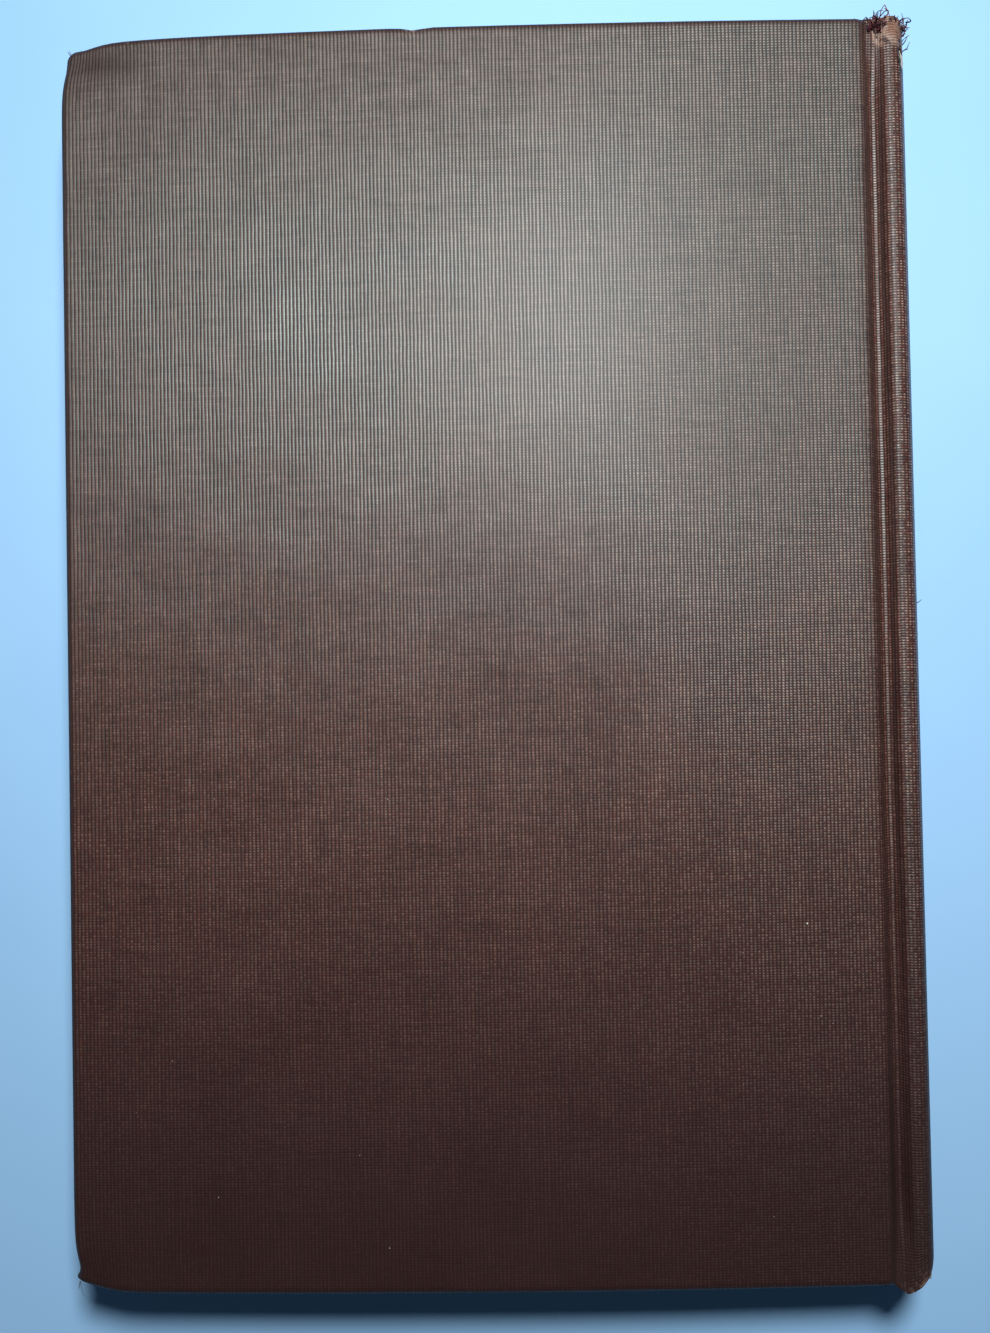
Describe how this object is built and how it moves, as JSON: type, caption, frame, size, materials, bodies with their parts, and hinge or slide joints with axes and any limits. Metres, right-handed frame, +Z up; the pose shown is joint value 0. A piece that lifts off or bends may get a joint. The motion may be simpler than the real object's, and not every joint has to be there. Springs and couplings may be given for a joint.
{
  "type": "hardback book",
  "caption": "Closed cloth-bound hardback book with a rounded spine, grooved joints, stiff covers that open flat, and a solid block of pages.",
  "frame": {"origin": "on the table, under the middle of the book, which lies on its front cover", "axes": "+Z up through the thickness, from the front cover to the back cover; +Y from the tail to the head of the book; +X from the fore-edge to the spine"},
  "size_m": [0.1328, 0.194, 0.0212],
  "materials": {
    "pages": "matt, toned at the edges",
    "endpaper": "matt",
    "board": "grey board",
    "cloth": "ribbed book cloth, faded red-brown, low sheen",
    "mull": "open gauze",
    "lining": "brown paper",
    "card": "thin card"
  },
  "bodies": {
    "text_block": {"page_block": "pages", "back_flyleaf": "endpaper", "front_flyleaf": "endpaper", "spine_mull": "mull", "spine_lining": "lining", "spine_card": "card", "spine_cloth": "cloth"},
    "back_cover": {"back_board": "board", "back_cloth": "cloth", "back_mull_flap": "mull", "back_pastedown": "endpaper"},
    "front_cover": {"front_board": "board", "front_cloth": "cloth", "front_mull_flap": "mull", "front_pastedown": "endpaper"}
  },
  "joints": [
    {"name": "back_cover_hinge", "type": "hinge", "parent": "text_block", "child": "back_cover", "pos_m": [0.0621, 0, 0.0178], "axis": [0, 1, 0], "range_deg": [0, 179]},
    {"name": "front_cover_hinge", "type": "hinge", "parent": "text_block", "child": "front_cover", "pos_m": [0.0621, 0, 0.0022], "axis": [0, -1, 0], "range_deg": [0, 179]}
  ]
}
